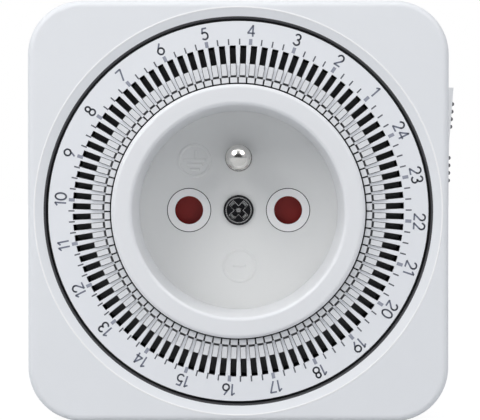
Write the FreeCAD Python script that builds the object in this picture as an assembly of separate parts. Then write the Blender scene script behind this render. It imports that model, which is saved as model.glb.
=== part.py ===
import FreeCAD, Part
import math
import os

from FreeCAD import Vector

os.makedirs("parts", exist_ok=True)

# Plug in timer switch. Y runs from the front (minus) to the wall socket (plus), Z is up, and the
# origin is the centre of the plug's face. Sizes are in millimetres.

# Socket and plug system
pin_spacing = 19.0
earth_rise = 10.0
pin_r = 2.4
plug_pin_free = 19.0
earth_pin_free = 14.0
earth_bore_r = 2.5
sleeve_stop = 1.0
sleeve_collar_w = 0.8
sleeve_collar_t = 1.0
pin_shoulder_r = 3.0
shoulder_sink = 0.6
pin_neck_r = 2.2
pin_neck_len = 0.2
pin_hole_r = 2.6
pin_tail_r = 2.0
pin_collar_w = 1.0
pin_collar_t = 1.2
earth_shoulder_in = 1.2
clip_w = 6.0
clip_t = 0.7
clip_sink = 1.3
clip_set_back = 0.8
socket_hole_r = 2.7
bush_r = 4.1
bush_gap = 0.15
bush_flange_r = 4.65
bush_flange_t = 0.6

# Case
case_margin = 1.3
body_corner_r = 10.0
wall = 2.0
front_edge_r = 1.2
back_edge_r = 3.0
front_depth = 26.0
rear_depth = 14.0
boss_r = 18.5
boss_length = 16.0
boss_wall = 2.0
plug_flange_w = 2.0
plug_flange_t = 1.5
seam_w = 0.15
boss_edge_r = 1.0
plug_face_t = 3.0
bezel_width = 2.0
bezel_sink = 0.7
screw_inset = 7.0
screw_r = 1.4
screw_head_r = 2.4
screw_head_t = 1.8
screw_well = 3.0
screw_edge_r = 0.5
screw_cross_len = 3.0
screw_cross_w = 0.6
screw_cross_t = 1.0
boss_post_r = 2.8
motor_rib_spread = 6.5
motor_rib_drop = 9.8

# Socket collar and floor
collar_r = 23.5
mouth_r = 19.6
floor_r = 19.0
collar_proud = 1.5
recess_depth = 15.5
collar_lip_r = 0.8
collar_flange_w = 2.0
floor_t = 2.5
centre_head_r = 2.9
centre_head_t = 0.6
centre_screw_in = 7.0
cross_len = 3.6
cross_w = 0.8

# Dial
dial_r = 35.2
dial_edge_gap = 0.5
dial_sink = 0.4
dial_t = 2.2
dial_flange_w = 1.2
dial_flange_t = 0.8
dial_sleeve_w = 0.85
dial_play = 0.2
ring_wall = 0.5
dial_mark_deg = 26.35
hours = 24
tabs_per_hour = 4
slot_out_r = 30.7
slot_w = 1.15
slot_ring_depth = 5.6
slot_lead = 0.2
tab_w = 0.95
handle_w = 1.3
handle_len = 0.95
handle_gap = 0.3
tab_proud = 0.6
tab_neck_t = 0.9
tab_travel = 2.4
tab_notch = 1.2
notch_w = 0.35
stem_len = 2.1
stem_drop = 0.2
snap_arm_t = 0.8
snap_arm_drop = 3.4

# Gear train
pressure_deg = 20.0
tooth_top = 0.85
tooth_root = 1.15
tooth_play = 0.2
dial_module = 0.75
dial_tooth_inset = 2.2
idler_pinion_teeth = 12
wheel_module = 0.5
wheel_teeth = 38
motor_teeth = 10
idler_deg = 225.0
motor_deg = -12.0
gear_ring_depth = 7.1
wheel_t = 1.2
axle_r = 1.0
idler_hub_r = 2.5
pin_flange_r = 2.0
pin_flange_t = 0.8
motor_r = 13.0
motor_t = 11.0
motor_edge_r = 0.8
motor_set_back = 0.5
motor_hole_r = 3.4
shaft_in = 3.5
lead_r = 0.6
lead_len = 6.0
lead_spread = 3.0
lead_inset = 2.0
motor_offset_x = 2.8
motor_offset_z = 5.5

# Mechanism plate, lever and contacts
plate_t = 1.5
plate_depth = 11.5
spacer_r = 1.4
spacer_inset = 2.8
spacer_degs = (150, 215, 317)
lever_t = 1.3
lever_pin_inset_x = 8.0
lever_pin_inset_z = 13.5
lever_hub_r = 2.2
lever_nose_deg = 60.0
nose_back = 1.0
nose_low = 0.7
nose_high = 2.8
tail_w = 1.6
tail_root_in = 1.1
tail_root_out = 2.0
leaf_t = 0.6
leaf_w = 1.9
leaf_rise = 1.2
button_r = 0.9
button_t = 0.8
button_gap = 0.25
button_reach = 13.0
lug_w = 3.0
lever_travel_deg = 8.4
strap_t = 0.8
strap_w = 4.0
feed_inset = 4.0

# Rocker
rocker_len = 21.0
rocker_w = 7.2
rocker_z = 13.3
rocker_t = 3.6
rocker_proud = 1.5
rocker_pivot_in = 3.4
rocker_hub_r = 2.0
rocker_hub_flat = 1.2
rocker_slope_deg = 1.5
rocker_tilt_deg = 3.0
rocker_front = 14.8
rib_count = 4
rib_pitch = 1.45
rib_first = 3.0
rib_r = 0.4
rocker_pin_r = 0.9
cheek_t = 1.0
cheek_half = 3.0
cheek_in = 2.0
finger_in = 1.3
finger_t = 1.8
finger_h = 1.6
finger_low = 6.4
finger_root_t = 3.0
finger_root_in = 1.0
finger_play_x = 1.5
finger_play_z = 1.0

# Contact block and shutter
block_half_x = 16.0
block_half_z = 5.5
block_t = 14.2
block_post_r = 1.2
contact_wall = 0.7
contact_solid = 3.0
slit_w = 0.8
spring_w = 1.2
spring_t = 2.5
shutter_t = 1.0
shutter_lobe_r = 3.9
shutter_post_r = 2.6

# Clearances
running = 0.06
snug = 0.1
gap = 0.3

# Outline and stations along Y
body_side = 2 * (dial_r + dial_edge_gap + bezel_width + case_margin)
half = body_side / 2
y_back = -boss_length
y_parting = y_back - rear_depth
y_front = y_parting - front_depth
y_mouth = y_front - collar_proud
y_floor = y_mouth + recess_depth
y_floor_back = y_floor + floor_t
y_dial = y_front + dial_sink
y_dial_back = y_dial + dial_t
y_slot_back = y_dial + slot_ring_depth
y_gear_back = y_dial + gear_ring_depth
y_plate = y_front + plate_depth
y_plate_back = y_plate + plate_t
y_wheel = y_slot_back + tab_travel + gap
y_block = y_floor_back + shutter_t + gap
y_block_back = y_block + block_t
y_inner_back = y_back - wall
y_pin_tail = y_block_back + 2 * (gap + strap_t)
y_screw_end = y_block + centre_screw_in
y_earth_end = y_block + earth_shoulder_in
y_motor = y_floor_back + motor_set_back
y_motor_back = y_motor + motor_t
y_rocker = y_front + rocker_front
y_rocker_back = y_rocker + rocker_w
y_lever = y_gear_back + gap
y_leaf = y_lever + lever_t
y_hub = y_dial - tab_proud + tab_travel + tab_neck_t + tab_notch
sleeve_len = boss_length - sleeve_stop

# Radii that fit together
dial_opening_r = dial_r + dial_edge_gap
dial_bore_r = collar_r + snug
sleeve_r = dial_bore_r + dial_sleeve_w
slot_in_r = sleeve_r + 2 * slot_lead
contact_r = pin_r + contact_wall
spring_r = shutter_post_r + spring_w
nose_r = slot_in_r + notch_w + stem_len + 2 * gap

# Places that several pieces share
live_x = pin_spacing / 2
neutral_x = -pin_spacing / 2
block_post_x = block_half_x - block_post_r - snug
block_post_z = block_half_z - block_post_r - snug
screw_at = half - screw_inset
screw_corners = [(-screw_at, screw_at), (screw_at, screw_at), (screw_at, -screw_at)]
feed_z = half - wall - feed_inset
lever_pin_x = half - lever_pin_inset_x
lever_pin_z = half - lever_pin_inset_z
leaf_z = lever_pin_z + leaf_rise
button_x = lever_pin_x - button_reach
rocker_x = half - rocker_pivot_in
finger_level = (finger_low + finger_h / 2) * math.sin(math.radians(rocker_tilt_deg))
pitch_deg = 360 / (hours * tabs_per_hour)
dial_teeth = 2 * round((dial_r - dial_tooth_inset) / dial_module)
gear_distance = dial_module * (dial_teeth + idler_pinion_teeth) / 2
wheel_distance = wheel_module * (wheel_teeth + motor_teeth) / 2


def rod(r, y0, y1, x=0.0, z=0.0):
    return Part.makeCylinder(r, y1 - y0, Vector(x, y0, z), Vector(0, 1, 0))


def tube(r_out, r_in, y0, y1, x=0.0, z=0.0):
    return rod(r_out, y0, y1, x, z).cut(rod(r_in, y0, y1, x, z))


def block(x0, x1, y0, y1, z0, z1):
    return Part.makeBox(x1 - x0, y1 - y0, z1 - z0, Vector(x0, y0, z0))


def polar(r, deg):
    angle = math.radians(deg)
    return r * math.cos(angle), r * math.sin(angle)


# Gear, motor and spacer centres, from their distances and directions
idler_x, idler_z = polar(gear_distance, idler_deg)
motor_step_x, motor_step_z = polar(wheel_distance, motor_deg)
motor_x = idler_x + motor_step_x
motor_z = idler_z + motor_step_z
can_x = motor_x + motor_offset_x
can_z = motor_z + motor_offset_z


def turned(shape, deg, x=0.0, z=0.0):
    """Turn a shape from +X towards +Z about an axis along Y."""
    turned_shape = shape.copy()
    turned_shape.rotate(Vector(x, 0, z), Vector(0, 1, 0), -deg)
    return turned_shape


def outline(points, y0, y1):
    """Extrude an outline of (x, z) points from y0 to y1."""
    corners = [Vector(x, y0, z) for x, z in points]
    face = Part.Face(Part.makePolygon(corners + corners[:1]))
    return face.extrude(Vector(0, y1 - y0, 0))


def lathe(points):
    """Revolve an outline of (radius, y) points about the Y axis."""
    corners = [Vector(r, y, 0) for r, y in points]
    face = Part.Face(Part.makePolygon(corners + corners[:1]))
    return face.revolve(Vector(0, 0, 0), Vector(0, 1, 0), 360)


def rounded_block(side, corner_r, y0, y1):
    solid = block(-side / 2, side / 2, y0, y1, -side / 2, side / 2)
    upright = [e for e in solid.Edges if abs(e.Length - (y1 - y0)) < 1e-6 and is_along_y(e)]
    return solid.makeFillet(corner_r, upright)


def is_along_y(edge):
    box = edge.BoundBox
    return box.XLength < 1e-6 and box.ZLength < 1e-6


def edges_at(solid, y, r_min=0.0):
    """Edges that lie in the plane at y and reach beyond r_min from the axis."""
    found = []
    for edge in solid.Edges:
        box = edge.BoundBox
        flat = abs(box.YMin - y) < 1e-4 and abs(box.YMax - y) < 1e-4
        reach = max(math.hypot(v.X, v.Z) for v in edge.Vertexes)
        if flat and reach > r_min:
            found.append(edge)
    return found


def joined(first, *others):
    return first.fuse(list(others)).removeSplitter()


def save(node, shape):
    shape.exportStep("parts/" + node + ".step")


def pin_with_dome(y_face, way, free, x, z):
    """A contact pin with a domed end, a relief at its root and a shoulder below the face."""
    y_dome = y_face + way * (free - pin_r)
    y_neck = y_face + way * pin_neck_len
    y_sunk = y_face - way * shoulder_sink
    shank = rod(pin_r, min(y_neck, y_dome), max(y_neck, y_dome), x, z)
    neck = rod(pin_neck_r, min(y_sunk, y_neck), max(y_sunk, y_neck), x, z)
    return joined(shank, neck, Part.makeSphere(pin_r, Vector(x, y_dome, z)))


def involute(angle):
    return math.tan(angle) - angle


def gear(module, teeth, y0, y1, x, z, aim_deg, flank_steps=3, bore_r=0.0):
    """A spur gear with a tooth centred on aim_deg and a little backlash."""
    pitch_r = module * teeth / 2
    base_r = pitch_r * math.cos(math.radians(pressure_deg))
    tip_r = pitch_r + tooth_top * module
    root_r = pitch_r - tooth_root * module
    half_pitch = (math.pi / 2 - tooth_play) / teeth + involute(math.radians(pressure_deg))
    points = []
    for tooth in range(teeth):
        centre = math.radians(aim_deg) + 2 * math.pi * tooth / teeth
        flank = []
        for step in range(flank_steps):
            r = root_r + (tip_r - root_r) * step / (flank_steps - 1)
            pressure = math.acos(min(1.0, base_r / r))
            flank.append((r, half_pitch - involute(pressure)))
        rise = [(r, centre - a) for r, a in flank]
        fall = [(r, centre + a) for r, a in reversed(flank)]
        points += [(x + r * math.cos(a), z + r * math.sin(a)) for r, a in rise + fall]
    solid = outline(points, y0, y1)
    if bore_r:
        solid = solid.cut(rod(bore_r, y0, y1, x, z))
    return solid


def strap(points, width_axis, width=strap_w, thick=strap_t):
    """A flat bar that follows points joined by straight runs along X, Y or Z."""
    bars = []
    for a, b in zip(points, points[1:]):
        low = [min(a[i], b[i]) for i in range(3)]
        high = [max(a[i], b[i]) for i in range(3)]
        for i in range(3):
            spread = width / 2 if i == width_axis else thick / 2
            low[i] -= spread
            high[i] += spread
        bars.append(block(low[0], high[0], low[1], high[1], low[2], high[2]))
    return joined(bars[0], *bars[1:])


def front_shell():
    """Front half of the case, with the dial opening and the rocker window."""
    solid = rounded_block(body_side, body_corner_r, y_front, y_parting)
    solid = solid.makeFillet(front_edge_r, edges_at(solid, y_front))
    solid = solid.makeChamfer(seam_w, edges_at(solid, y_parting))
    inside = rounded_block(body_side - 2 * wall, body_corner_r - wall, y_front + wall, y_parting)
    solid = solid.cut(inside)
    bosses = [rod(boss_post_r, y_front + wall, y_plate, x, z) for x, z in screw_corners]
    pin_y0 = y_rocker - 2 * gap - cheek_t
    cheek_z0 = rocker_z - cheek_half
    cheek_z1 = rocker_z + cheek_half
    inner = rocker_x - cheek_in
    side = half - wall / 2
    cheek_front = block(inner, side, pin_y0, pin_y0 + cheek_t + gap, cheek_z0, cheek_z1)
    cheek_back_y = y_rocker_back + gap
    cheek_back = block(inner, side, cheek_back_y, cheek_back_y + cheek_t, cheek_z0, cheek_z1)
    solid = joined(solid, cheek_front, cheek_back, *bosses)
    window_z = rocker_len / 2 + gap
    window = block(half - 2 * wall, half + wall, y_rocker - gap, y_rocker_back + gap,
                   rocker_z - window_z, rocker_z + window_z)
    pin_hole = rod(rocker_pin_r, pin_y0 - gap, cheek_back_y + cheek_t + gap, rocker_x, rocker_z)
    bezel_r = dial_opening_r + bezel_width
    bezel = lathe([(0, y_front - wall), (bezel_r + wall * bezel_width / bezel_sink, y_front - wall),
                   (bezel_r, y_front), (dial_opening_r, y_front + bezel_sink),
                   (dial_opening_r, y_front + 2 * wall), (0, y_front + 2 * wall)])
    screw_holes = [rod(screw_r, y_front + 2 * wall, y_plate, x, z) for x, z in screw_corners]
    return solid.cut([window, pin_hole, bezel] + screw_holes)


def rear_shell():
    """Rear half of the case, with the hole that the plug body comes through."""
    solid = rounded_block(body_side, body_corner_r, y_parting, y_back)
    solid = solid.makeFillet(back_edge_r, edges_at(solid, y_back))
    solid = solid.makeChamfer(seam_w, edges_at(solid, y_parting))
    inside = rounded_block(body_side - 2 * wall, body_corner_r - wall, y_parting, y_inner_back)
    posts = [rod(boss_post_r, y_plate_back, y_inner_back, x, z) for x, z in screw_corners]
    posts.append(rod(boss_post_r, y_plate_back, y_inner_back, -screw_at, -screw_at))
    rib_top = -(boss_r + plug_flange_w + gap)
    for x in (can_x - motor_rib_spread, can_x + motor_rib_spread):
        posts.append(block(x - wall / 2, x + wall / 2, y_motor_back, y_inner_back,
                           can_z - motor_rib_drop, rib_top))
    solid = joined(solid.cut(inside), *posts)
    cuts = [rod(boss_r, y_inner_back, y_back)]
    for x, z in screw_corners:
        cuts.append(rod(screw_r + snug, y_plate_back, y_back, x, z))
        cuts.append(rod(screw_head_r + gap, y_back - screw_well, y_back, x, z))
    return solid.cut(cuts)


def plug_body():
    """The round plug that enters the wall socket, held by its flange inside the rear shell."""
    solid = rod(boss_r, y_inner_back, 0)
    solid = solid.makeFillet(boss_edge_r, edges_at(solid, 0))
    flange = rod(boss_r + plug_flange_w, y_inner_back - plug_flange_t, y_inner_back)
    hollow = rod(boss_r - boss_wall, y_inner_back - plug_flange_t, -plug_face_t)
    solid = joined(solid, flange).cut(hollow)
    posts = []
    for x in (-block_post_x, block_post_x):
        for z in (-block_post_z, block_post_z):
            posts.append(rod(block_post_r, y_block_back, -plug_face_t, x, z))
    solid = joined(solid, *posts)
    cuts = []
    for x in (live_x, neutral_x):
        cuts.append(rod(pin_hole_r, -plug_face_t, 0, x, 0))
        cuts.append(rod(pin_shoulder_r, -plug_face_t, -shoulder_sink, x, 0))
    cuts.append(rod(earth_bore_r + contact_wall, -plug_face_t, 0, 0, earth_rise))
    for z_way in (-1, 1):
        z0 = boss_r - clip_sink
        z1 = boss_r + wall
        cuts.append(block(-clip_w / 2 - snug, clip_w / 2 + snug, y_back, 0,
                          min(z_way * z0, z_way * z1), max(z_way * z0, z_way * z1)))
    return solid.cut(cuts)


def socket_collar():
    """The round wall of the socket recess, which the dial turns on."""
    points = [(mouth_r, y_mouth), (collar_r, y_mouth), (collar_r, y_plate_back),
              (collar_r + collar_flange_w, y_plate_back),
              (collar_r + collar_flange_w, y_floor_back), (floor_r, y_floor_back),
              (floor_r, y_floor)]
    solid = lathe(points)
    rims = edges_at(solid, y_mouth)
    return solid.makeFillet(collar_lip_r, rims)


def socket_face():
    """The floor of the recess, with its two holes and the earth pin's hole."""
    solid = rod(floor_r, y_floor, y_floor_back)
    cuts = []
    for x in (live_x, neutral_x):
        cuts.append(rod(bush_r + bush_gap, y_floor, y_floor_back, x, 0))
        cuts.append(rod(bush_flange_r, y_floor_back - bush_flange_t, y_floor_back, x, 0))
    cuts.append(rod(pin_hole_r, y_floor, y_floor_back, 0, earth_rise))
    cuts.append(rod(pin_shoulder_r, y_floor + shoulder_sink, y_floor_back, 0, earth_rise))
    cuts.append(rod(screw_r + snug, y_floor, y_floor_back))
    return solid.cut(cuts)


def hole_bush(x):
    """One of the two bright rings that line the socket holes."""
    ring = rod(bush_r, y_floor, y_floor_back, x, 0)
    flange = rod(bush_flange_r - snug, y_floor_back - bush_flange_t, y_floor_back, x, 0)
    return joined(ring, flange).cut(rod(socket_hole_r, y_floor, y_floor_back, x, 0))


def earth_pin():
    pin = pin_with_dome(y_floor, -1, earth_pin_free, 0, earth_rise)
    shoulder = rod(pin_shoulder_r, y_floor + shoulder_sink, y_earth_end, 0, earth_rise)
    return joined(pin, shoulder)


def centre_screw():
    """Cross-head screw that holds the floor to the contact block."""
    head = rod(centre_head_r, y_floor - centre_head_t, y_floor)
    head = head.makeFillet(centre_head_t / 2, edges_at(head, y_floor - centre_head_t))
    shank = rod(screw_r, y_floor, y_screw_end)
    arm = cross_len / 2
    slot = cross_w / 2
    cross = [block(-arm, arm, y_floor - centre_head_t, y_floor, -slot, slot),
             block(-slot, slot, y_floor - centre_head_t, y_floor, -arm, arm)]
    return joined(head, shank).cut([turned(c, 45) for c in cross])


def contact_block():
    """Insulating block behind the floor, with the two contact chambers."""
    solid = block(-block_half_x, block_half_x, y_block, y_block_back, -block_half_z, block_half_z)
    post = rod(shutter_post_r, y_floor_back, y_block)
    solid = joined(solid, post)
    cuts = [rod(contact_r + snug, y_block, y_block_back, x, 0) for x in (live_x, neutral_x)]
    cuts.append(rod(screw_r, y_floor_back, y_screw_end))
    cuts.append(tube(spring_r + snug, shutter_post_r, y_block, y_block + spring_t))
    return solid.cut(cuts)


def contact_sleeve(x):
    """A sprung brass sleeve that grips a plug pin, slit along both sides."""
    sleeve = tube(contact_r, pin_r, y_block + gap, y_block_back, x, 0)
    slit = block(x - contact_r, x + contact_r, y_block, y_block_back - contact_solid,
                 -slit_w / 2, slit_w / 2)
    tail = rod(contact_r, y_block_back - contact_solid, y_block_back + gap, x, 0)
    return joined(sleeve.cut(slit), tail)


def shutter():
    """Red bow-tie plate that closes both holes and turns away when a plug goes in."""
    y0 = y_floor_back + gap / 2
    lobes = [rod(shutter_lobe_r, y0, y0 + shutter_t, x, 0) for x in (live_x, neutral_x)]
    hub = rod(shutter_lobe_r + contact_wall, y0, y0 + shutter_t)
    arm = block(neutral_x, live_x, y0, y0 + shutter_t, -shutter_lobe_r / 2, shutter_lobe_r / 2)
    bore = rod(shutter_post_r + running, y0, y0 + shutter_t)
    return joined(hub, arm, *lobes).cut(bore)


def shutter_spring():
    """Torsion spring wound close on the shutter's post, as one sleeve."""
    return tube(spring_r, shutter_post_r + snug, y_block + snug, y_block + spring_t)


def plug_pin(x):
    pin = pin_with_dome(0, 1, plug_pin_free, x, 0)
    shoulder = rod(pin_shoulder_r, -plug_face_t, -shoulder_sink, x, 0)
    collar = rod(pin_shoulder_r + pin_collar_w, -plug_face_t - pin_collar_t, -plug_face_t, x, 0)
    tail = rod(pin_tail_r, y_pin_tail, -plug_face_t - pin_collar_t, x, 0)
    return joined(pin, shoulder, collar, tail)


def earth_sleeve():
    """Brass sleeve in the plug face that takes the wall socket's earth pin."""
    sleeve_out_r = earth_bore_r + contact_wall
    sleeve = rod(sleeve_out_r, -sleeve_len, 0, 0, earth_rise)
    flange = rod(sleeve_out_r + sleeve_collar_w, -plug_face_t - sleeve_collar_t, -plug_face_t,
                 0, earth_rise)
    bore = rod(earth_bore_r, -sleeve_len + contact_wall, 0, 0, earth_rise)
    return joined(sleeve, flange).cut(bore)


def earth_clips():
    """Two flat earth contacts let into the top and bottom of the plug body."""
    clips = []
    for way in (-1, 1):
        z0 = way * (boss_r - clip_sink)
        z1 = way * (boss_r - clip_sink + clip_t)
        clips.append(block(-clip_w / 2, clip_w / 2, y_back, -clip_set_back, min(z0, z1), max(z0, z1)))
    return Part.makeCompound(clips)


def earth_strap():
    """Brass bar from the socket's earth pin to the sleeve in the plug face."""
    return strap([(0, y_earth_end + strap_t / 2, earth_rise),
                  (0, -sleeve_len - strap_t / 2, earth_rise)], 0)


def live_feed_strap():
    """From the live pin up to the fixed contact."""
    y_run = y_pin_tail - strap_t / 2
    top = [(live_x, y_run, 0), (live_x, y_run, feed_z), (live_x, y_plate + strap_t / 2, feed_z)]
    return strap(top, 0)


def switched_live_strap():
    """From the lever's pin down to the switched contact sleeve."""
    y_run = y_block_back + gap + strap_t / 2
    x_run = lever_pin_x
    points = [(x_run, y_plate_back + pin_flange_t + strap_t / 2, lever_pin_z),
              (x_run, y_run, lever_pin_z), (x_run, y_run, 0), (live_x, y_run, 0)]
    return strap(points[:3], 0).fuse(strap(points[2:], 2)).removeSplitter()


def neutral_strap():
    """Straight bar from the neutral pin to the neutral contact sleeve."""
    return strap([(neutral_x, y_block_back + gap + strap_t / 2, 0),
                  (neutral_x, y_pin_tail - strap_t / 2, 0)], 0)


def mechanism_plate():
    """Inner plate that carries the dial, the gears, the motor and the lever."""
    side = body_side - 2 * wall - 2 * gap
    solid = rounded_block(side, body_corner_r - wall - gap, y_plate, y_plate_back)
    spacers = []
    for deg in spacer_degs:
        dx, dz = polar(motor_r - spacer_inset, deg)
        spacers.append(rod(spacer_r, y_plate_back, y_motor, can_x + dx, can_z + dz))
    solid = joined(solid, *spacers)
    cuts = [rod(collar_r, y_plate, y_plate_back),
            rod(motor_hole_r, y_plate, y_plate_back, motor_x, motor_z),
            rod(axle_r, y_plate, y_plate_back, idler_x, idler_z),
            rod(axle_r, y_plate, y_plate_back, lever_pin_x, lever_pin_z),
            block(rocker_x - finger_in - finger_play_x, half, y_plate, y_plate_back,
                  rocker_z + finger_low - finger_play_z,
                  rocker_z + finger_low + finger_h + finger_play_z),
            block(live_x - strap_w / 2 - gap, live_x + strap_w / 2 + gap, y_plate, y_plate_back,
                  feed_z - strap_t / 2 - gap, feed_z + strap_t / 2 + gap)]
    cuts += [rod(screw_r + snug, y_plate, y_plate_back, x, z) for x, z in screw_corners]
    return solid.cut(cuts)


def motor_can():
    """Sealed synchronous gear motor."""
    can = rod(motor_r, y_motor, y_motor_back, can_x, can_z)
    can = can.makeFillet(motor_edge_r, edges_at(can, y_motor_back) + edges_at(can, y_motor))
    return can.cut(rod(axle_r + running, y_motor, y_motor + shaft_in, motor_x, motor_z))


def motor_pinion():
    """Steel output shaft with its pinion."""
    y_teeth = y_wheel - gap / 2
    teeth = gear(wheel_module, motor_teeth, y_teeth, y_wheel + wheel_t + gap / 2, motor_x, motor_z,
                 motor_deg + 180 + 180 / motor_teeth)
    shaft = rod(axle_r, y_teeth, y_motor + shaft_in - gap, motor_x, motor_z)
    return joined(teeth, shaft)


def drive_gear():
    """Idler: a large wheel driven by the motor, moulded with the pinion that turns the dial."""
    y_pinion = y_dial_back + dial_flange_t + gap
    pinion = gear(dial_module, idler_pinion_teeth, y_pinion, y_wheel, idler_x, idler_z,
                  idler_deg + 180 + 180 / idler_pinion_teeth)
    wheel = gear(wheel_module, wheel_teeth, y_wheel, y_wheel + wheel_t, idler_x, idler_z, motor_deg)
    hub = rod(idler_hub_r, y_wheel + wheel_t, y_plate - snug, idler_x, idler_z)
    bore = rod(axle_r + running, y_pinion, y_plate, idler_x, idler_z)
    return joined(pinion, wheel, hub).cut(bore)


def flanged_pin(x, z, y_end):
    """A turned pin pressed into the plate, with its flange behind it."""
    pin = rod(axle_r, y_end, y_plate_back, x, z)
    flange = rod(pin_flange_r, y_plate_back, y_plate_back + pin_flange_t, x, z)
    return joined(pin, flange)


def dial_ring():
    """The 24-hour ring: printed face, 96 tab slots, gear teeth behind and a bearing sleeve."""
    solid = lathe([
        (dial_bore_r, y_hub), (sleeve_r, y_hub), (slot_in_r, y_hub), (slot_in_r, y_dial), (dial_r, y_dial),
        (dial_r, y_dial_back - gap), (dial_r + dial_flange_w, y_dial_back - gap),
        (dial_r + dial_flange_w, y_dial_back - gap + dial_flange_t),
        (slot_out_r + ring_wall, y_dial_back - gap + dial_flange_t),
        (slot_out_r + ring_wall, y_slot_back), (sleeve_r, y_slot_back), (sleeve_r, y_plate - dial_play),
        (dial_bore_r, y_plate - dial_play)])
    teeth = gear(dial_module, dial_teeth, y_dial_back - gap + dial_flange_t, y_gear_back, 0, 0,
                 idler_deg, 2, slot_out_r + ring_wall / 2)
    slot = block(slot_in_r - slot_lead, slot_out_r, y_dial, y_slot_back, -slot_w / 2, slot_w / 2)
    first = dial_mark_deg + pitch_deg / 2
    slots = [turned(slot, first + pitch_deg * i) for i in range(hours * tabs_per_hour)]
    return joined(solid, teeth).cut(slots)


def tab():
    """One switching tab, lying along +X before it is turned into its slot."""
    r0 = collar_r + handle_gap
    r1 = r0 + handle_len
    r2 = slot_in_r + notch_w
    r3 = r2 + stem_len
    r4 = slot_out_r - gap
    y_top = y_dial - tab_proud
    y_arm = y_dial + snap_arm_drop
    y_stem = y_top + stem_drop
    side = [(r0, y_top), (r1, y_top), (r1, y_top + tab_notch), (r2, y_top + tab_notch),
            (r2, y_stem), (r3, y_stem),
            (r3, y_arm), (r4, y_arm), (r4, y_arm + snap_arm_t), (r3, y_arm + snap_arm_t),
            (r3, y_slot_back), (r2, y_slot_back), (r2, y_top + tab_neck_t + tab_notch),
            (r0, y_top + tab_neck_t + tab_notch)]
    corners = [Vector(r, y, -tab_w / 2) for r, y in side]
    body = Part.Face(Part.makePolygon(corners + corners[:1])).extrude(Vector(0, 0, tab_w))
    handle = block(r0, r1, y_top, y_top + tab_neck_t + tab_notch, -handle_w / 2, handle_w / 2)
    return joined(body, handle)


def rocker():
    """Override rocker with two groups of grip ribs, drawn level and then tilted to its rest."""
    end = rocker_len / 2
    out = rocker_pivot_in + rocker_proud
    rise = end * math.tan(math.radians(rocker_slope_deg))
    inner = out - rocker_t
    profile = [(out, 0), (out + rise, end), (inner, end), (inner, rocker_hub_r),
               (-rocker_hub_flat, rocker_hub_r), (-rocker_hub_r, 0),
               (-rocker_hub_flat, -rocker_hub_r), (inner, -rocker_hub_r), (inner, -end),
               (out + rise, -end)]
    points = [(rocker_x + u, rocker_z + w) for u, w in profile]
    solid = outline(points, y_rocker, y_rocker_back)
    ribs = []
    for way in (-1, 1):
        for i in range(rib_count):
            w = rib_first + rib_pitch * i
            u = out + w * math.tan(math.radians(rocker_slope_deg))
            ribs.append(rod(rib_r, y_rocker + gap, y_rocker_back - gap,
                            rocker_x + u, rocker_z + way * w))
    low = rocker_z + finger_low
    x0 = rocker_x - finger_in
    root = block(x0, rocker_x + out - finger_root_in, y_rocker, y_rocker + finger_root_t,
                 low, low + finger_h)
    finger = block(x0, x0 + finger_t, y_lever - gap, y_rocker, low, low + finger_h)
    solid = joined(solid, root, finger, *ribs)
    solid = solid.cut(rod(rocker_pin_r + running, y_rocker, y_rocker_back, rocker_x, rocker_z))
    return turned(solid, -rocker_tilt_deg, rocker_x, rocker_z)


def rocker_pin():
    y0 = y_rocker - 2 * gap - cheek_t
    y1 = y_rocker_back + gap + cheek_t
    return rod(rocker_pin_r, y0, y1, rocker_x, rocker_z)


def switch_lever():
    """Follower whose nose lies beside the tab feet and whose tail meets the rocker's finger."""
    nose_x, nose_z = polar(nose_r, lever_nose_deg)
    hub = rod(lever_hub_r, y_lever, y_leaf, lever_pin_x, lever_pin_z)
    arm = outline([(nose_x, nose_z), (lever_pin_x, lever_pin_z - lever_hub_r),
                   (lever_pin_x, lever_pin_z + lever_hub_r),
                   (nose_x - nose_back, nose_z + nose_high),
                   (nose_x - nose_back, nose_z + nose_low)], y_lever, y_leaf)
    tail_x = rocker_x - finger_in + finger_level - gap
    tail_z = rocker_z + finger_low
    tail = outline([(tail_x - tail_w, tail_z), (tail_x, tail_z), (tail_x, tail_z + finger_h),
                    (lever_pin_x + tail_root_out, lever_pin_z),
                    (lever_pin_x - tail_root_in, lever_pin_z)], y_lever, y_leaf)
    bore = rod(axle_r + running, y_lever, y_leaf, lever_pin_x, lever_pin_z)
    return joined(hub, arm, tail).cut(bore)


def moving_contact():
    """Spring leaf fixed behind the lever, with a silver button on its bent end."""
    y1 = y_leaf + leaf_t
    hub = rod(lever_hub_r, y_leaf, y1, lever_pin_x, lever_pin_z)
    leaf = block(button_x - lug_w / 2, lever_pin_x, y_leaf, y1, leaf_z, leaf_z + leaf_w)
    lug = block(button_x - lug_w / 2, button_x + lug_w / 2, y_leaf, y_plate - gap,
                leaf_z + leaf_w - leaf_t, leaf_z + leaf_w)
    y_button = (y_leaf + y_plate - gap) / 2
    button = Part.makeCylinder(button_r, button_t, Vector(button_x, y_button, leaf_z + leaf_w))
    bore = rod(axle_r + running, y_leaf, y1, lever_pin_x, lever_pin_z)
    return joined(hub, leaf, lug, button).cut(bore)


def fixed_contact():
    """Brass bracket on the plate, with the button that the lever's button closes on."""
    rise = (lever_pin_x - button_x) * math.sin(math.radians(lever_travel_deg))
    z0 = leaf_z + leaf_w + button_t + rise + button_gap
    z1 = z0 + button_t
    y_button = (y_leaf + y_plate - gap) / 2
    bar = block(live_x - strap_w / 2, button_x + lug_w / 2, y_leaf, y_plate, z1, z1 + strap_t)
    foot = block(live_x - strap_w / 2, live_x + strap_w / 2, y_plate - strap_t, y_plate, z1,
                 feed_z + strap_t / 2)
    button = Part.makeCylinder(button_r, button_t, Vector(button_x, y_button, z0))
    return joined(bar, foot, button)


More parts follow.
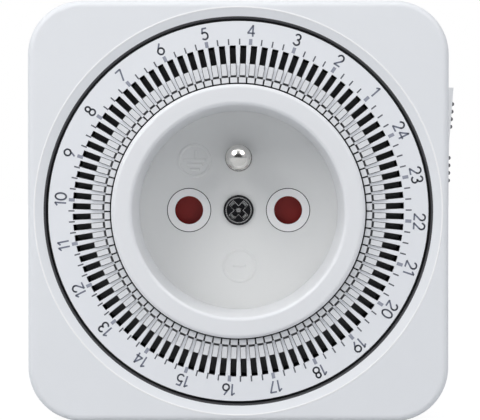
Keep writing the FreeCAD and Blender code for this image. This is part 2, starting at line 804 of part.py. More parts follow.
def housing_screws():
    """Three long screws that clamp rear shell, plate and front shell together."""
    screws = []
    y_head = y_back - screw_well
    for x, z in screw_corners:
        head = rod(screw_head_r, y_head, y_head + screw_head_t, x, z)
        y_top = y_head + screw_head_t
        head = head.makeFillet(screw_edge_r, edges_at(head, y_top))
        arm = screw_cross_len / 2
        side = screw_cross_w / 2
        slots = [block(x - arm, x + arm, y_top - screw_cross_t, y_top, z - side, z + side),
                 block(x - side, x + side, y_top - screw_cross_t, y_top, z - arm, z + arm)]
        shank = rod(screw_r, y_front + 2 * wall, y_head, x, z)
        screws.append(joined(head, shank).cut(slots))
    return Part.makeCompound(screws)


def motor_leads():
    """Two insulated leads from the motor to the live and neutral straps."""
    leads = []
    for x in (can_x - lead_spread, can_x + lead_spread):
        z = can_z + motor_r - lead_inset
        leads.append(rod(lead_r, y_motor_back, y_motor_back + lead_len, x, z))
    return Part.makeCompound(leads)


save("front_shell", front_shell())
save("rear_shell", rear_shell())
save("plug_body", plug_body())
save("socket_collar", socket_collar())
save("socket_face", socket_face())
save("hole_bush_left", hole_bush(neutral_x))
save("hole_bush_right", hole_bush(live_x))
save("earth_pin", earth_pin())
save("centre_screw", centre_screw())
save("contact_block", contact_block())
save("contact_left", contact_sleeve(neutral_x))
save("contact_right", contact_sleeve(live_x))
save("shutter", shutter())
save("shutter_spring", shutter_spring())
save("live_pin", plug_pin(live_x))
save("neutral_pin", plug_pin(neutral_x))
save("earth_sleeve", earth_sleeve())
save("earth_clips", earth_clips())
save("earth_strap", earth_strap())
save("live_feed_strap", live_feed_strap())
save("switched_live_strap", switched_live_strap())
save("neutral_strap", neutral_strap())
save("mechanism_plate", mechanism_plate())
save("motor_can", motor_can())
save("motor_leads", motor_leads())
save("motor_pinion", motor_pinion())
save("drive_gear", drive_gear())
save("idler_axle", flanged_pin(idler_x, idler_z, y_dial_back + dial_flange_t))
save("lever_pin", flanged_pin(lever_pin_x, lever_pin_z, y_lever - gap))
save("dial_ring", dial_ring())
save("rocker", rocker())
save("rocker_pin", rocker_pin())
save("switch_lever", switch_lever())
save("moving_contact", moving_contact())
save("fixed_contact", fixed_contact())
save("housing_screws", housing_screws())

one_tab = tab()
for hour in range(hours):
    first = dial_mark_deg + pitch_deg * tabs_per_hour * hour
    middles = [first + pitch_deg * (quarter + 0.5) for quarter in range(tabs_per_hour)]
    group = [turned(one_tab, deg) for deg in middles]
    save("hour_%02d_tabs" % (hour + 1), Part.makeCompound(group))
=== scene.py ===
import math
import bpy
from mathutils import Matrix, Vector


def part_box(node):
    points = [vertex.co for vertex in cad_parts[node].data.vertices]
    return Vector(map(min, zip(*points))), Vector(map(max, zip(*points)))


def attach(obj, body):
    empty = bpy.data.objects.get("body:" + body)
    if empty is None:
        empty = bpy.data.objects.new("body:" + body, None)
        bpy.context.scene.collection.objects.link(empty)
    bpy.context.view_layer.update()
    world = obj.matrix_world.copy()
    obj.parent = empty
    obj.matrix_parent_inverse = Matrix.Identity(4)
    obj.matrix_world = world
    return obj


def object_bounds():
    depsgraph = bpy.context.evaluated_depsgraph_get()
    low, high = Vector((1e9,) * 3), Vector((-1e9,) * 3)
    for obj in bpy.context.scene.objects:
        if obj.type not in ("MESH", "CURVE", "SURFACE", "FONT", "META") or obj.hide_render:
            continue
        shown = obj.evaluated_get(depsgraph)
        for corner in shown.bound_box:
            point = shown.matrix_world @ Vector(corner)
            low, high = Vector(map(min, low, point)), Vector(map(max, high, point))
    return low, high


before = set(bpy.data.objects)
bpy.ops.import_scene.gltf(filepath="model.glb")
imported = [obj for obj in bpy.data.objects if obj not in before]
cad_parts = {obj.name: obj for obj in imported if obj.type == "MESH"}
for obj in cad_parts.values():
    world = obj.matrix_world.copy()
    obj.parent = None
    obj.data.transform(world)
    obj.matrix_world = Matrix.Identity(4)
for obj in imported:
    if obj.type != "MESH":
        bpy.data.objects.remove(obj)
cad_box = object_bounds()

# Studio: two broad soft boxes above the front on the left and the right, a weak lamp overhead
# and a pale sky that is dark behind the camera. The camera has a long lens and stands straight
# in front of the dial, a few millimetres above its middle.
scene = bpy.context.scene
scene.view_settings.view_transform = "Standard"
front_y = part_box("front_shell")[0][1]
aim = Vector((0.00032, front_y, 0.00024))
camera_distance = 0.370
camera_side = 0.0015
camera_rise = 0.0060

camera_data = bpy.data.cameras.new("camera")
camera_data.lens = 150
camera_data.sensor_width = 36
camera_data.clip_start = 0.01
camera = bpy.data.objects.new("camera", camera_data)
camera.location = (camera_side, front_y - camera_distance, camera_rise)
camera.rotation_euler = (aim - camera.location).to_track_quat("-Z", "Y").to_euler()
scene.collection.objects.link(camera)
scene.camera = camera


def lamp(name, place, size, power, tint):
    """A round soft box that points at the middle of the case's front."""
    light = bpy.data.lights.new(name, "AREA")
    light.shape = "DISK"
    light.size = size
    light.energy = power
    light.color = tint
    holder = bpy.data.objects.new(name, light)
    holder.location = place
    target = Vector((0, front_y, 0))
    holder.rotation_euler = (target - Vector(place)).to_track_quat("-Z", "Y").to_euler()
    scene.collection.objects.link(holder)


warm_tint = (1.0, 0.995, 0.985)
cool_tint = (0.97, 0.98, 1.0)
lamp("soft_box_left", (-0.34, -0.38, 0.40), 0.45, 2.10, warm_tint)
lamp("soft_box_right", (0.34, -0.40, 0.42), 0.45, 1.15, warm_tint)
lamp("top", (0.0, -0.20, 0.60), 0.40, 0.35, cool_tint)

sky_colour = (0.93, 0.95, 1.0, 1)
sky_dark_y, sky_bright_y = -0.92, -0.70
sky_dark, sky_bright = 0.06, 0.52
world = bpy.data.worlds.new("studio")
scene.world = world
world.use_nodes = True
put = world.node_tree.nodes.new
tie = world.node_tree.links.new
sky = world.node_tree.nodes["Background"]
sky.inputs["Color"].default_value = sky_colour
backdrop = put("ShaderNodeBackground")
backdrop.inputs["Color"].default_value = (1, 1, 1, 1)
rays = put("ShaderNodeLightPath")
choose = put("ShaderNodeMixShader")
towards = put("ShaderNodeTexCoord")
direction = put("ShaderNodeSeparateXYZ")
room = put("ShaderNodeMapRange")
room.interpolation_type = "SMOOTHSTEP"
room.inputs["From Min"].default_value = sky_dark_y
room.inputs["From Max"].default_value = sky_bright_y
room.inputs["To Min"].default_value = sky_dark
room.inputs["To Max"].default_value = sky_bright
tie(towards.outputs["Generated"], direction.inputs[0])
tie(direction.outputs["Y"], room.inputs["Value"])
tie(room.outputs["Result"], sky.inputs["Strength"])
tie(rays.outputs["Is Camera Ray"], choose.inputs[0])
tie(sky.outputs[0], choose.inputs[1])
tie(backdrop.outputs[0], choose.inputs[2])
tie(choose.outputs[0], world.node_tree.nodes["World Output"].inputs["Surface"])


# Table: a wide sheet of pale paper just below the case. The camera sees it nearly white, and
# near the case enough of the paper shows to keep the shadow.
def finish_mesh(name, points, faces, material, body=None):
    """A mesh with one material, which rides on a body of the part where one is given."""
    mesh = bpy.data.meshes.new(name)
    mesh.from_pydata(points, [], faces)
    mesh.validate()
    mesh.materials.append(material)
    piece = bpy.data.objects.new(name, mesh)
    scene.collection.objects.link(piece)
    if body:
        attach(piece, body)
    return piece


table_reach = 3.0
table_drop = 0.00002
paper_colour = (0.62, 0.63, 0.64, 1)
glow_strength = 1.12
glow_near, glow_far = 0.84, 1.0
near_distance, far_distance = 0.10, 0.40
table = bpy.data.materials.new("table_paper")
table.use_nodes = True
put = table.node_tree.nodes.new
tie = table.node_tree.links.new
paper = table.node_tree.nodes["Principled BSDF"]
paper.inputs["Base Color"].default_value = paper_colour
paper.inputs["Roughness"].default_value = 0.8
glow = put("ShaderNodeEmission")
glow.inputs["Strength"].default_value = glow_strength
rays = put("ShaderNodeLightPath")
ground = put("ShaderNodeNewGeometry")
away = put("ShaderNodeVectorMath")
away.operation = "LENGTH"
fade = put("ShaderNodeMapRange")
fade.inputs["From Min"].default_value = near_distance
fade.inputs["From Max"].default_value = far_distance
fade.inputs["To Min"].default_value = glow_near
fade.inputs["To Max"].default_value = glow_far
share = put("ShaderNodeMath")
share.operation = "MULTIPLY"
choose = put("ShaderNodeMixShader")
tie(ground.outputs["Position"], away.inputs[0])
tie(away.outputs["Value"], fade.inputs["Value"])
tie(fade.outputs["Result"], share.inputs[1])
tie(rays.outputs["Is Camera Ray"], share.inputs[0])
tie(share.outputs[0], choose.inputs[0])
tie(paper.outputs[0], choose.inputs[1])
tie(glow.outputs[0], choose.inputs[2])
tie(choose.outputs[0], table.node_tree.nodes["Material Output"].inputs["Surface"])
table_z = cad_box[0][2] - table_drop
table_corners = [(-table_reach, -table_reach, table_z), (table_reach, -table_reach, table_z),
                 (table_reach, table_reach, table_z), (-table_reach, table_reach, table_z)]
floor = finish_mesh("table", table_corners, [(0, 1, 2, 3)], table)


# Case: two halves and the round plug body, injection moulded in pale cool-white plastic with a
# fine satin texture. The halves meet at a straight seam, and three screws hold them from behind.
# The wall of the dial's opening lies behind the face and is painted dark as shade.
def grain_group():
    """Fine moulded texture: a little tone, roughness and height that change over the surface."""
    group = bpy.data.node_groups.new("moulded_grain", "ShaderNodeTree")
    face = group.interface
    for name, value in (("Grain Scale", 9000.0), ("Blotch Scale", 90.0), ("Tone Depth", 0.02),
                        ("Rough Low", 0.35), ("Rough High", 0.5)):
        face.new_socket(name, in_out="INPUT", socket_type="NodeSocketFloat").default_value = value
    for name in ("Tone", "Roughness", "Height"):
        face.new_socket(name, in_out="OUTPUT", socket_type="NodeSocketFloat")
    put = group.nodes.new
    tie = group.links.new
    given = put("NodeGroupInput")
    out = put("NodeGroupOutput")
    place = put("ShaderNodeTexCoord")
    fine = put("ShaderNodeTexNoise")
    fine.inputs["Detail"].default_value = 3
    blotch = put("ShaderNodeTexNoise")
    blotch.inputs["Detail"].default_value = 4
    for texture, socket in ((fine, "Grain Scale"), (blotch, "Blotch Scale")):
        tie(place.outputs["Object"], texture.inputs["Vector"])
        tie(given.outputs[socket], texture.inputs["Scale"])
    centred = put("ShaderNodeMath")
    centred.operation = "SUBTRACT"
    centred.inputs[1].default_value = 0.5
    tie(blotch.outputs["Fac"], centred.inputs[0])
    tone = put("ShaderNodeMath")
    tone.operation = "MULTIPLY_ADD"
    tone.inputs[2].default_value = 1.0
    tie(centred.outputs[0], tone.inputs[0])
    tie(given.outputs["Tone Depth"], tone.inputs[1])
    rough = put("ShaderNodeMapRange")
    tie(fine.outputs["Fac"], rough.inputs["Value"])
    tie(given.outputs["Rough Low"], rough.inputs["To Min"])
    tie(given.outputs["Rough High"], rough.inputs["To Max"])
    tie(tone.outputs[0], out.inputs["Tone"])
    tie(rough.outputs["Result"], out.inputs["Roughness"])
    tie(fine.outputs["Fac"], out.inputs["Height"])
    return group


grain = grain_group()
grain_fineness = 5200.0
plastic_ior = 1.49
relief_share = 0.6


def moulded(name, colour, rough=(0.38, 0.52), bump=0.00001, tone=0.03, painted_shade=None):
    """A moulded plastic: colour with slight drift, changing roughness and a fine spark texture.

    With painted_shade given as (y where it starts, y where it is full, colour, radius), painted
    shade darkens the moulding behind its face, inside that radius about the dial's axis.
    """
    material = bpy.data.materials.new(name)
    material.use_nodes = True
    put = material.node_tree.nodes.new
    tie = material.node_tree.links.new
    shader = material.node_tree.nodes["Principled BSDF"]
    shader.inputs["IOR"].default_value = plastic_ior
    texture = put("ShaderNodeGroup")
    texture.node_tree = grain
    texture.inputs["Grain Scale"].default_value = grain_fineness
    texture.inputs["Tone Depth"].default_value = tone
    texture.inputs["Rough Low"].default_value = rough[0]
    texture.inputs["Rough High"].default_value = rough[1]
    shade = put("ShaderNodeVectorMath")
    shade.operation = "SCALE"
    shade.inputs[0].default_value = colour
    tie(texture.outputs["Tone"], shade.inputs["Scale"])
    surface = shade.outputs["Vector"]
    # Painted shade: the colour turns dark from one depth behind the face to another, inside the
    # radius.
    if painted_shade:
        start_y, full_y, painted_shade_colour, reach = painted_shade
        place = put("ShaderNodeTexCoord")
        split = put("ShaderNodeSeparateXYZ")
        depth = put("ShaderNodeMapRange")
        depth.interpolation_type = "SMOOTHSTEP"
        depth.inputs["From Min"].default_value = start_y
        depth.inputs["From Max"].default_value = full_y
        inner = put("ShaderNodeMix")
        inner.data_type = "RGBA"
        inner.inputs["B"].default_value = (*painted_shade_colour, 1)
        flat = put("ShaderNodeVectorMath")
        flat.operation = "MULTIPLY"
        flat.inputs[1].default_value = (1, 0, 1)
        radius = put("ShaderNodeVectorMath")
        radius.operation = "LENGTH"
        within = put("ShaderNodeMath")
        within.operation = "LESS_THAN"
        within.inputs[1].default_value = reach
        both = put("ShaderNodeMath")
        both.operation = "MULTIPLY"
        tie(place.outputs["Object"], split.inputs[0])
        tie(place.outputs["Object"], flat.inputs[0])
        tie(flat.outputs["Vector"], radius.inputs[0])
        tie(radius.outputs["Value"], within.inputs[0])
        tie(split.outputs["Y"], depth.inputs["Value"])
        tie(depth.outputs["Result"], both.inputs[0])
        tie(within.outputs[0], both.inputs[1])
        tie(both.outputs[0], inner.inputs["Factor"])
        tie(shade.outputs["Vector"], inner.inputs["A"])
        surface = inner.outputs["Result"]
    tie(surface, shader.inputs["Base Color"])
    tie(texture.outputs["Roughness"], shader.inputs["Roughness"])
    relief = put("ShaderNodeBump")
    relief.inputs["Distance"].default_value = bump
    relief.inputs["Strength"].default_value = relief_share
    tie(texture.outputs["Height"], relief.inputs["Height"])
    tie(relief.outputs["Normal"], shader.inputs["Normal"])
    return material


def dress(material, *names):
    """Put one material on the named solids of the part."""
    for name in names:
        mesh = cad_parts[name].data
        mesh.materials.clear()
        mesh.materials.append(material)


case_tone = (0.780, 0.795, 0.820)
# Painted shade: the front shell turns near black behind its face, inside the dial's opening.
opening_shade = (0.04, 0.04, 0.045)
opening_reach = 0.0361
case_white = moulded("case_white", case_tone)
dress(case_white, "rear_shell", "plug_body")
case_front_white = moulded("case_front_white", case_tone,
                           painted_shade=(front_y + 0.0003, front_y + 0.0006, opening_shade, opening_reach))
dress(case_front_white, "front_shell")

# Socket collar and recess floor: a smooth tube and a disc in the same plastic, a little
# glossier. The walls of the floor's holes behind its face are painted dark as shade.
whole_piece = 0.1
# Painted shade for the inside of the holes, behind the floor's and the bushes' faces.
hole_shade = (0.03, 0.03, 0.03)
floor_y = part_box("socket_face")[0][1]
collar_white = moulded("collar_white", (0.790, 0.800, 0.820), rough=(0.26, 0.36), tone=0.02)
dress(collar_white, "socket_collar")
floor_white = moulded("floor_white", (0.840, 0.845, 0.835), rough=(0.34, 0.46),
                      painted_shade=(floor_y + 0.0001, floor_y + 0.0003, hole_shade, whole_piece))
dress(floor_white, "socket_face")


# Bezel bead: the light line round the dial's opening, a low flat-topped ridge moulded on the
# front of the case. Its white is brighter than the case's as a painted highlight.
def ring_strip(centre, r_in, r_out, y_top, depth, steps=72):
    """A flat-topped raised ring on a face that looks along -Y, with sloped sides."""
    profile = ((r_in - depth, y_top + depth), (r_in, y_top), (r_out, y_top),
               (r_out + depth, y_top + depth))
    points = []
    faces = []
    for i in range(steps):
        angle = 2 * math.pi * i / steps
        c, s = math.cos(angle), math.sin(angle)
        points += [(centre[0] + r * c, y, centre[1] + r * s) for r, y in profile]
        a = 4 * i
        b = 4 * ((i + 1) % steps)
        for k in range(4):
            m = (k + 1) % 4
            faces.append((a + k, a + m, b + m, b + k))
    return points, faces


bead_r = 0.03770
bead_width = 0.00018
bead_proud = 0.00005
bead_depth = 0.00008
bead = ring_strip((0, 0), bead_r, bead_r + bead_width, front_y - bead_proud, bead_depth, steps=240)
# Painted highlight: the bead's white is brighter than the case's so that the ridge reads as a light
# line.
bead_highlight_white = moulded("bead_highlight_white", (0.93, 0.93, 0.94), rough=(0.2, 0.3), tone=0.01)
finish_mesh("bezel_bead", *bead, bead_highlight_white, "root")


# Marks on the recess floor: a raised earth mark and a bare round pad, moulded in one with the
# floor. Each is a thin ring with bars inside, all of one height and line width.
def bar_block(centre, width, height, y_top, depth):
    """A raised bar with sloped sides on a face that looks along -Y."""
    x0, x1 = centre[0] - width / 2, centre[0] + width / 2
    z0, z1 = centre[1] - height / 2, centre[1] + height / 2
    s = depth
    points = [(x0, y_top, z0), (x1, y_top, z0), (x1, y_top, z1), (x0, y_top, z1),
              (x0 - s, y_top + depth, z0 - s), (x1 + s, y_top + depth, z0 - s),
              (x1 + s, y_top + depth, z1 + s), (x0 - s, y_top + depth, z1 + s)]
    faces = [(0, 1, 2, 3), (0, 4, 5, 1), (1, 5, 6, 2), (2, 6, 7, 3), (3, 7, 4, 0), (7, 6, 5, 4)]
    return points, faces


def merged(pieces):
    """One list of points and one of faces from several pieces."""
    points = []
    faces = []
    for piece_points, piece_faces in pieces:
        base = len(points)
        points += piece_points
        faces += [tuple(base + i for i in face) for face in piece_faces]
    return points, faces


mark_y = floor_y - 0.00012
mark_depth = 0.00013
mark_line = 0.00032
mark_ring_r = 0.00285
mark_x, mark_z = -0.00845, 0.00950
stem_x, stem_z = mark_x + 0.0002, mark_z + 0.0011
stem_height = 0.0017
bar_z = mark_z + 0.0001
bar_pitch = 0.0009
bar_widths = (0.0040, 0.0028, 0.0017)
mark_ring = ring_strip((mark_x, mark_z), mark_ring_r, mark_ring_r + mark_line, mark_y, mark_depth)
mark_stem = bar_block((stem_x, stem_z), mark_line, stem_height, mark_y, mark_depth)
mark_bars = [bar_block((mark_x, bar_z - bar_pitch * k), width, mark_line, mark_y, mark_depth)
             for k, width in enumerate(bar_widths)]
finish_mesh("earth_mark", *merged([mark_ring, mark_stem] + mark_bars), floor_white, "root")
pad_centre = (0.0002, -0.01065)
pad_bar = 0.0022
pad = merged([ring_strip(pad_centre, mark_ring_r, mark_ring_r + mark_line, mark_y, mark_depth),
              bar_block(pad_centre, pad_bar, mark_line, mark_y, mark_depth)])
finish_mesh("round_pad", *pad, floor_white, "root")

# Hole bushes and shutter: two glossy white rings that line the plug holes, and the dark red
# moulding that closes the holes from behind.
bush_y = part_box("hole_bush_left")[0][1]
# Painted shade: the bushes turn near black behind their faces, down the holes.
bush_white = moulded("bush_white", (0.980, 0.970, 0.970), rough=(0.22, 0.3), tone=0.02,
                     painted_shade=(bush_y + 0.0002, bush_y + 0.0004, hole_shade, whole_piece))
dress(bush_white, "hole_bush_left", "hole_bush_right")
shutter_red = moulded("shutter_red", (0.400, 0.018, 0.014), rough=(0.35, 0.5), tone=0.10)
dress(shutter_red, "shutter")


# Pins: drawn brass with bright nickel plate. The two plug pins stand behind and the earth pin
# in the recess. The drawing leaves faint marks along them.
tarnish_share = 0.82


def metal(name, colour, rough, streaks=(400.0, 400.0, 4000.0), bump=0.000004):
    """A metal with fine marks drawn out along one way, which change its tone and roughness."""
    material = bpy.data.materials.new(name)
    material.use_nodes = True
    put = material.node_tree.nodes.new
    tie = material.node_tree.links.new
    shader = material.node_tree.nodes["Principled BSDF"]
    shader.inputs["Metallic"].default_value = 1.0
    place = put("ShaderNodeTexCoord")
    stretch = put("ShaderNodeMapping")
    stretch.inputs["Scale"].default_value = streaks
    marks = put("ShaderNodeTexNoise")
    marks.inputs["Scale"].default_value = 1.0
    marks.inputs["Detail"].default_value = 5
    tie(place.outputs["Object"], stretch.inputs["Vector"])
    tie(stretch.outputs["Vector"], marks.inputs["Vector"])
    finish = put("ShaderNodeMapRange")
    finish.inputs["To Min"].default_value = rough[0]
    finish.inputs["To Max"].default_value = rough[1]
    tie(marks.outputs["Fac"], finish.inputs["Value"])
    tie(finish.outputs["Result"], shader.inputs["Roughness"])
    tarnish = put("ShaderNodeMix")
    tarnish.data_type = "RGBA"
    tarnish.inputs["A"].default_value = (*colour, 1)
    tarnish.inputs["B"].default_value = (*[c * tarnish_share for c in colour], 1)
    tie(marks.outputs["Fac"], tarnish.inputs["Factor"])
    tie(tarnish.outputs["Result"], shader.inputs["Base Color"])
    relief = put("ShaderNodeBump")
    relief.inputs["Distance"].default_value = bump
    relief.inputs["Strength"].default_value = 0.5
    tie(marks.outputs["Fac"], relief.inputs["Height"])
    tie(relief.outputs["Normal"], shader.inputs["Normal"])
    return material


nickel = metal("nickel", (0.82, 0.80, 0.76), (0.10, 0.20), streaks=(3000.0, 300.0, 3000.0))
dress(nickel, "earth_pin", "live_pin", "neutral_pin")

# Centre screw: blackened steel with a cross recess. Use has worn the edges of the cross and
# the rim bright, so they are thin bright strips on the head and a bright seat in the recess.
black_steel = metal("black_steel", (0.035, 0.035, 0.038), (0.18, 0.32), bump=0.00001)
dress(black_steel, "centre_screw")
worn_steel = metal("worn_steel", (0.62, 0.61, 0.60), (0.20, 0.34))
head_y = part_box("centre_screw")[0][1]
edge_rise = 0.00002
edge_width = 0.00016
cross_turn = math.radians(45)
arm_long, arm_half = 0.00185, 0.00046
quarter = [(arm_long, arm_half), (arm_half, arm_half), (arm_half, arm_long)]
cross = [(x * c - z * s, x * s + z * c)
         for c, s in ((0, -1), (1, 0), (0, 1), (-1, 0)) for x, z in quarter]
edge_points = []
for x, z in cross:
    for grow, y in ((0.0, head_y + edge_rise), (edge_width, head_y - edge_rise)):
        wide_x, wide_z = x + math.copysign(grow, x), z + math.copysign(grow, z)
        edge_points.append((wide_x * math.cos(cross_turn) - wide_z * math.sin(cross_turn), y,
                            wide_x * math.sin(cross_turn) + wide_z * math.cos(cross_turn)))
corners = len(cross)
edge_faces = []
for k in range(corners):
    a, b = 2 * k, 2 * ((k + 1) % corners)
    edge_faces.append((a, a + 1, b + 1, b))
finish_mesh("cross_edge", edge_points, edge_faces, worn_steel, "root")
rim_in, rim_out, rim_depth = 0.00232, 0.00248, 0.00006
rim = ring_strip((0, 0), rim_in, rim_out, head_y - edge_rise, rim_depth, steps=64)
finish_mesh("screw_rim", *rim, worn_steel, "root")
seat_in, seat_out, seat_proud, seat_depth = 0.00005, 0.00042, 0.00030, 0.00020
seat = ring_strip((0, 0), seat_in, seat_out, floor_y - seat_proud, seat_depth, steps=32)
finish_mesh("cross_seat", *seat, worn_steel, "root")

# Small hardware: screws, axles and the spring in plain steel, and the motor's can and pinion.
# They are pressed, screwed or slipped into the mouldings.
steel = metal("steel", (0.56, 0.56, 0.57), (0.25, 0.42))
dress(steel, "housing_screws", "rocker_pin", "idler_axle", "lever_pin", "motor_pinion", "motor_can",
      "shutter_spring")

# Contacts and bars: stamped and bent brass strip, from the plug's pins and earth clips to the
# sleeves behind the socket holes and the two switch contacts.
brass = metal("brass", (0.80, 0.62, 0.32), (0.22, 0.36))
dress(brass, "contact_left", "contact_right", "earth_sleeve", "earth_clips", "earth_strap",
      "live_feed_strap", "switched_live_strap", "neutral_strap", "moving_contact", "fixed_contact")

# Inner mouldings and leads: the plate, the contact block, the idler gear and the follower lever
# in plain off-white plastic, and the motor's two insulated leads in dark grey.
inner_white = moulded("inner_white", (0.66, 0.66, 0.63), rough=(0.4, 0.55))
dress(inner_white, "mechanism_plate", "contact_block", "drive_gear", "switch_lever")
lead_grey = moulded("lead_grey", (0.06, 0.06, 0.07), rough=(0.4, 0.55))
dress(lead_grey, "motor_leads")

# Dial and tabs: the ring is one bright white moulding that turns on the collar, and 96 push
# tabs of the same plastic slide in its slots. Behind the face both are painted darker as shade.
face_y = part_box("dial_ring")[0][1]
# Painted shade colours for the dial's slots and the tabs' stems and arms behind the face.
slot_shade = (0.050, 0.050, 0.055)
stem_shade = (0.13, 0.13, 0.135)
dial_white = moulded("dial_white", (0.800, 0.815, 0.845), rough=(0.34, 0.46), tone=0.02,
                     painted_shade=(face_y + 0.0002, face_y + 0.0009, slot_shade, whole_piece))
dress(dial_white, "dial_ring")
tab_white = moulded("tab_white", (0.740, 0.750, 0.770), rough=(0.32, 0.44), tone=0.05,
                    painted_shade=(face_y + 0.0001, face_y + 0.0007, stem_shade, whole_piece))
dress(tab_white, *["hour_%02d_tabs" % (i + 1) for i in range(24)])

# Ticks: 96 quarter-hour lines pad printed on the dial's face outside the slots, thin and dark,
# with a broad light one on each hour. The print sits a few tenths off the dial's middle.
ink_bump = 0.000004
ink_light = moulded("dial_ink_light", (0.300, 0.315, 0.375), rough=(0.45, 0.6), tone=0.25,
                    bump=ink_bump)
ink_dark = moulded("dial_ink_dark", (0.105, 0.110, 0.130), rough=(0.45, 0.6), tone=0.25,
                   bump=ink_bump)
ink_thick = 0.00002
ink_y = face_y - ink_thick
hours = 24
ticks_an_hour = 4
mark_zero = 26.39
print_x, print_z = 0.00032, 0.00015
tick_in, tick_out = 0.03068, 0.03178
tick_fine, tick_hour = 0.00025, 0.00062


def dial_point(r, along, angle):
    """A point at radius r and distance along the rim, at an angle from +X towards +Z."""
    c, s = math.cos(angle), math.sin(angle)
    return (print_x + r * c - along * s, print_z + r * s + along * c)


def slab(corners):
    """A thin printed patch with four or more (x, z) corners."""
    n = len(corners)
    points = [(x, ink_y, z) for x, z in corners] + [(x, ink_y + ink_thick, z) for x, z in corners]
    faces = [tuple(range(n))[::-1], tuple(range(n, 2 * n))]
    faces += [(i, (i + 1) % n, n + (i + 1) % n, n + i) for i in range(n)]
    return points, faces


def tick(number, width):
    """One printed line of the dial, counted from the first hour's mark."""
    angle = math.radians(mark_zero + 360 / (hours * ticks_an_hour) * number)
    half = width / 2
    return slab([dial_point(tick_in, -half, angle), dial_point(tick_out, -half, angle),
                 dial_point(tick_out, half, angle), dial_point(tick_in, half, angle)])


on_the_hour = range(0, hours * ticks_an_hour, ticks_an_hour)
between = [i for i in range(hours * ticks_an_hour) if i not in on_the_hour]
finish_mesh("dial_ticks", *merged([tick(i, tick_fine) for i in between]), ink_dark, "dial")
finish_mesh("dial_hour_ticks", *merged([tick(i, tick_hour) for i in on_the_hour]), ink_light,
            "dial")


# Numbers: 1 to 24 round the rim of the dial, pad printed in blue grey with a thin even stroke.
# Each figure is a few strokes in a box one unit high, and its top points outwards.
def arc(cx, cy, rx, ry, start, end):
    """Points along part of an ellipse, from one angle to another in degrees."""
    steps = max(4, int(abs(end - start) / 12))
    return [(cx + rx * math.cos(math.radians(start + (end - start) * k / steps)),
             cy + ry * math.sin(math.radians(start + (end - start) * k / steps)))
            for k in range(steps + 1)]


figures = {
    "0": (0.62, [arc(0.31, 0.5, 0.31, 0.5, 90, 450)]),
    "1": (0.24, [[(0.0, 0.80), (0.24, 1.0), (0.24, 0.0)]]),
    "2": (0.56, [arc(0.28, 0.71, 0.28, 0.29, 175, -40) + [(0.0, 0.0), (0.56, 0.0)]]),
    "3": (0.54, [arc(0.26, 0.75, 0.24, 0.25, 160, -90), arc(0.25, 0.26, 0.28, 0.26, 90, -155)]),
    "4": (0.62, [[(0.46, 0.0), (0.46, 1.0), (0.0, 0.28), (0.62, 0.28)]]),
    "5": (0.55, [[(0.50, 1.0), (0.14, 1.0), (0.06, 0.54)] + arc(0.26, 0.32, 0.29, 0.32, 130, -140)]),
    "6": (0.58, [[(0.42, 1.0), (0.06, 0.45)] + arc(0.29, 0.30, 0.29, 0.30, 150, 510)]),
    "7": (0.54, [[(0.0, 1.0), (0.54, 1.0), (0.14, 0.0)]]),
    "8": (0.56, [arc(0.28, 0.76, 0.22, 0.24, -90, 270), arc(0.28, 0.27, 0.28, 0.27, 90, 450)]),
    "9": (0.58, [[(0.16, 0.0), (0.52, 0.55)] + arc(0.29, 0.70, 0.29, 0.30, -30, 330)]),
}
figure_height = 0.00203
figure_stroke = 0.00030
figure_space = 0.27
figure_r = 0.03228
corner_overlap = 0.35


def stroke_patches(path, place):
    """Patches that follow a stroke, each a little longer than its run so that corners close."""
    patches = []
    half_width = figure_stroke / 2
    spots = [place(*p) for p in path]
    for (x0, z0), (x1, z1) in zip(spots, spots[1:]):
        length = math.hypot(x1 - x0, z1 - z0)
        ux, uz = (x1 - x0) / length, (z1 - z0) / length
        ex, ez = ux * half_width * corner_overlap, uz * half_width * corner_overlap
        nx, nz = -uz * half_width, ux * half_width
        patches.append(slab([(x0 - ex + nx, z0 - ez + nz), (x0 - ex - nx, z0 - ez - nz),
                             (x1 + ex - nx, z1 + ez - nz), (x1 + ex + nx, z1 + ez + nz)]))
    return patches


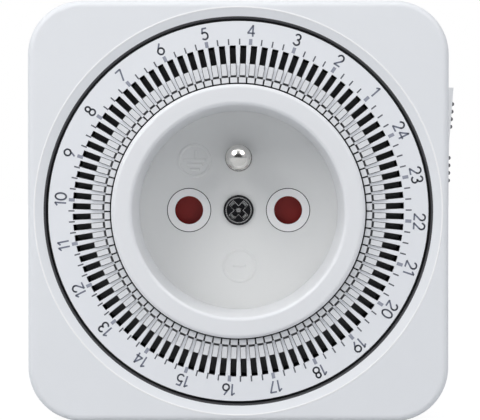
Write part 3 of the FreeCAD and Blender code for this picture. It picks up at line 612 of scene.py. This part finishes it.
def number_patches(hour):
    """The figures of one hour, set side by side about its mark."""
    text = str(hour)
    angle = math.radians(mark_zero + 360 / hours * hour)
    total = sum(figures[c][0] for c in text) + figure_space * (len(text) - 1)
    across = -total / 2
    patches = []
    for c in text:
        width, paths = figures[c]

        def place(u, v, across=across):
            return dial_point(figure_r + v * figure_height, -(across + u) * figure_height, angle)

        for path in paths:
            patches += stroke_patches(path, place)
        across += width + figure_space
    return patches


ink = moulded("dial_ink", (0.165, 0.180, 0.235), rough=(0.45, 0.6), tone=0.25, bump=ink_bump)
numbers = [patch for hour in range(1, hours + 1) for patch in number_patches(hour)]
finish_mesh("dial_numbers", *merged(numbers), ink, "dial")

# Rocker: a glossier white moulding with two groups of grip ribs, which tilts on a steel pin in
# the case's side. The small front ends of the ribs are painted grey as shade.
rocker_white = moulded("rocker_white", (0.960, 0.965, 0.970), rough=(0.28, 0.38))
dress(rocker_white, "rocker")
# Painted shade on the ribs' front ends: faces looking to the front, behind the rocker's face, at its
# outer side.
painted_rib_shade = (0.16, 0.16, 0.17, 1)
ribs_from_y = front_y + 0.01495
ribs_from_x = 0.0392
facing_front = -0.9
put = rocker_white.node_tree.nodes.new
tie = rocker_white.node_tree.links.new
shader = rocker_white.node_tree.nodes["Principled BSDF"]
body_colour = shader.inputs["Base Color"].links[0].from_socket
place = put("ShaderNodeTexCoord")
facing = put("ShaderNodeNewGeometry")
spot = put("ShaderNodeSeparateXYZ")
slope = put("ShaderNodeSeparateXYZ")
tie(place.outputs["Object"], spot.inputs[0])
tie(facing.outputs["True Normal"], slope.inputs[0])
mask = None
for value, test, limit in ((spot.outputs["Y"], "GREATER_THAN", ribs_from_y),
                           (slope.outputs["Y"], "LESS_THAN", facing_front),
                           (spot.outputs["X"], "GREATER_THAN", ribs_from_x)):
    passed = put("ShaderNodeMath")
    passed.operation = test
    passed.inputs[1].default_value = limit
    tie(value, passed.inputs[0])
    if mask:
        both = put("ShaderNodeMath")
        both.operation = "MULTIPLY"
        tie(mask, both.inputs[0])
        tie(passed.outputs[0], both.inputs[1])
        mask = both.outputs[0]
    else:
        mask = passed.outputs[0]
rib_tone = put("ShaderNodeMix")
rib_tone.data_type = "RGBA"
rib_tone.inputs["B"].default_value = painted_rib_shade
tie(mask, rib_tone.inputs["Factor"])
tie(body_colour, rib_tone.inputs["A"])
tie(rib_tone.outputs["Result"], shader.inputs["Base Color"])
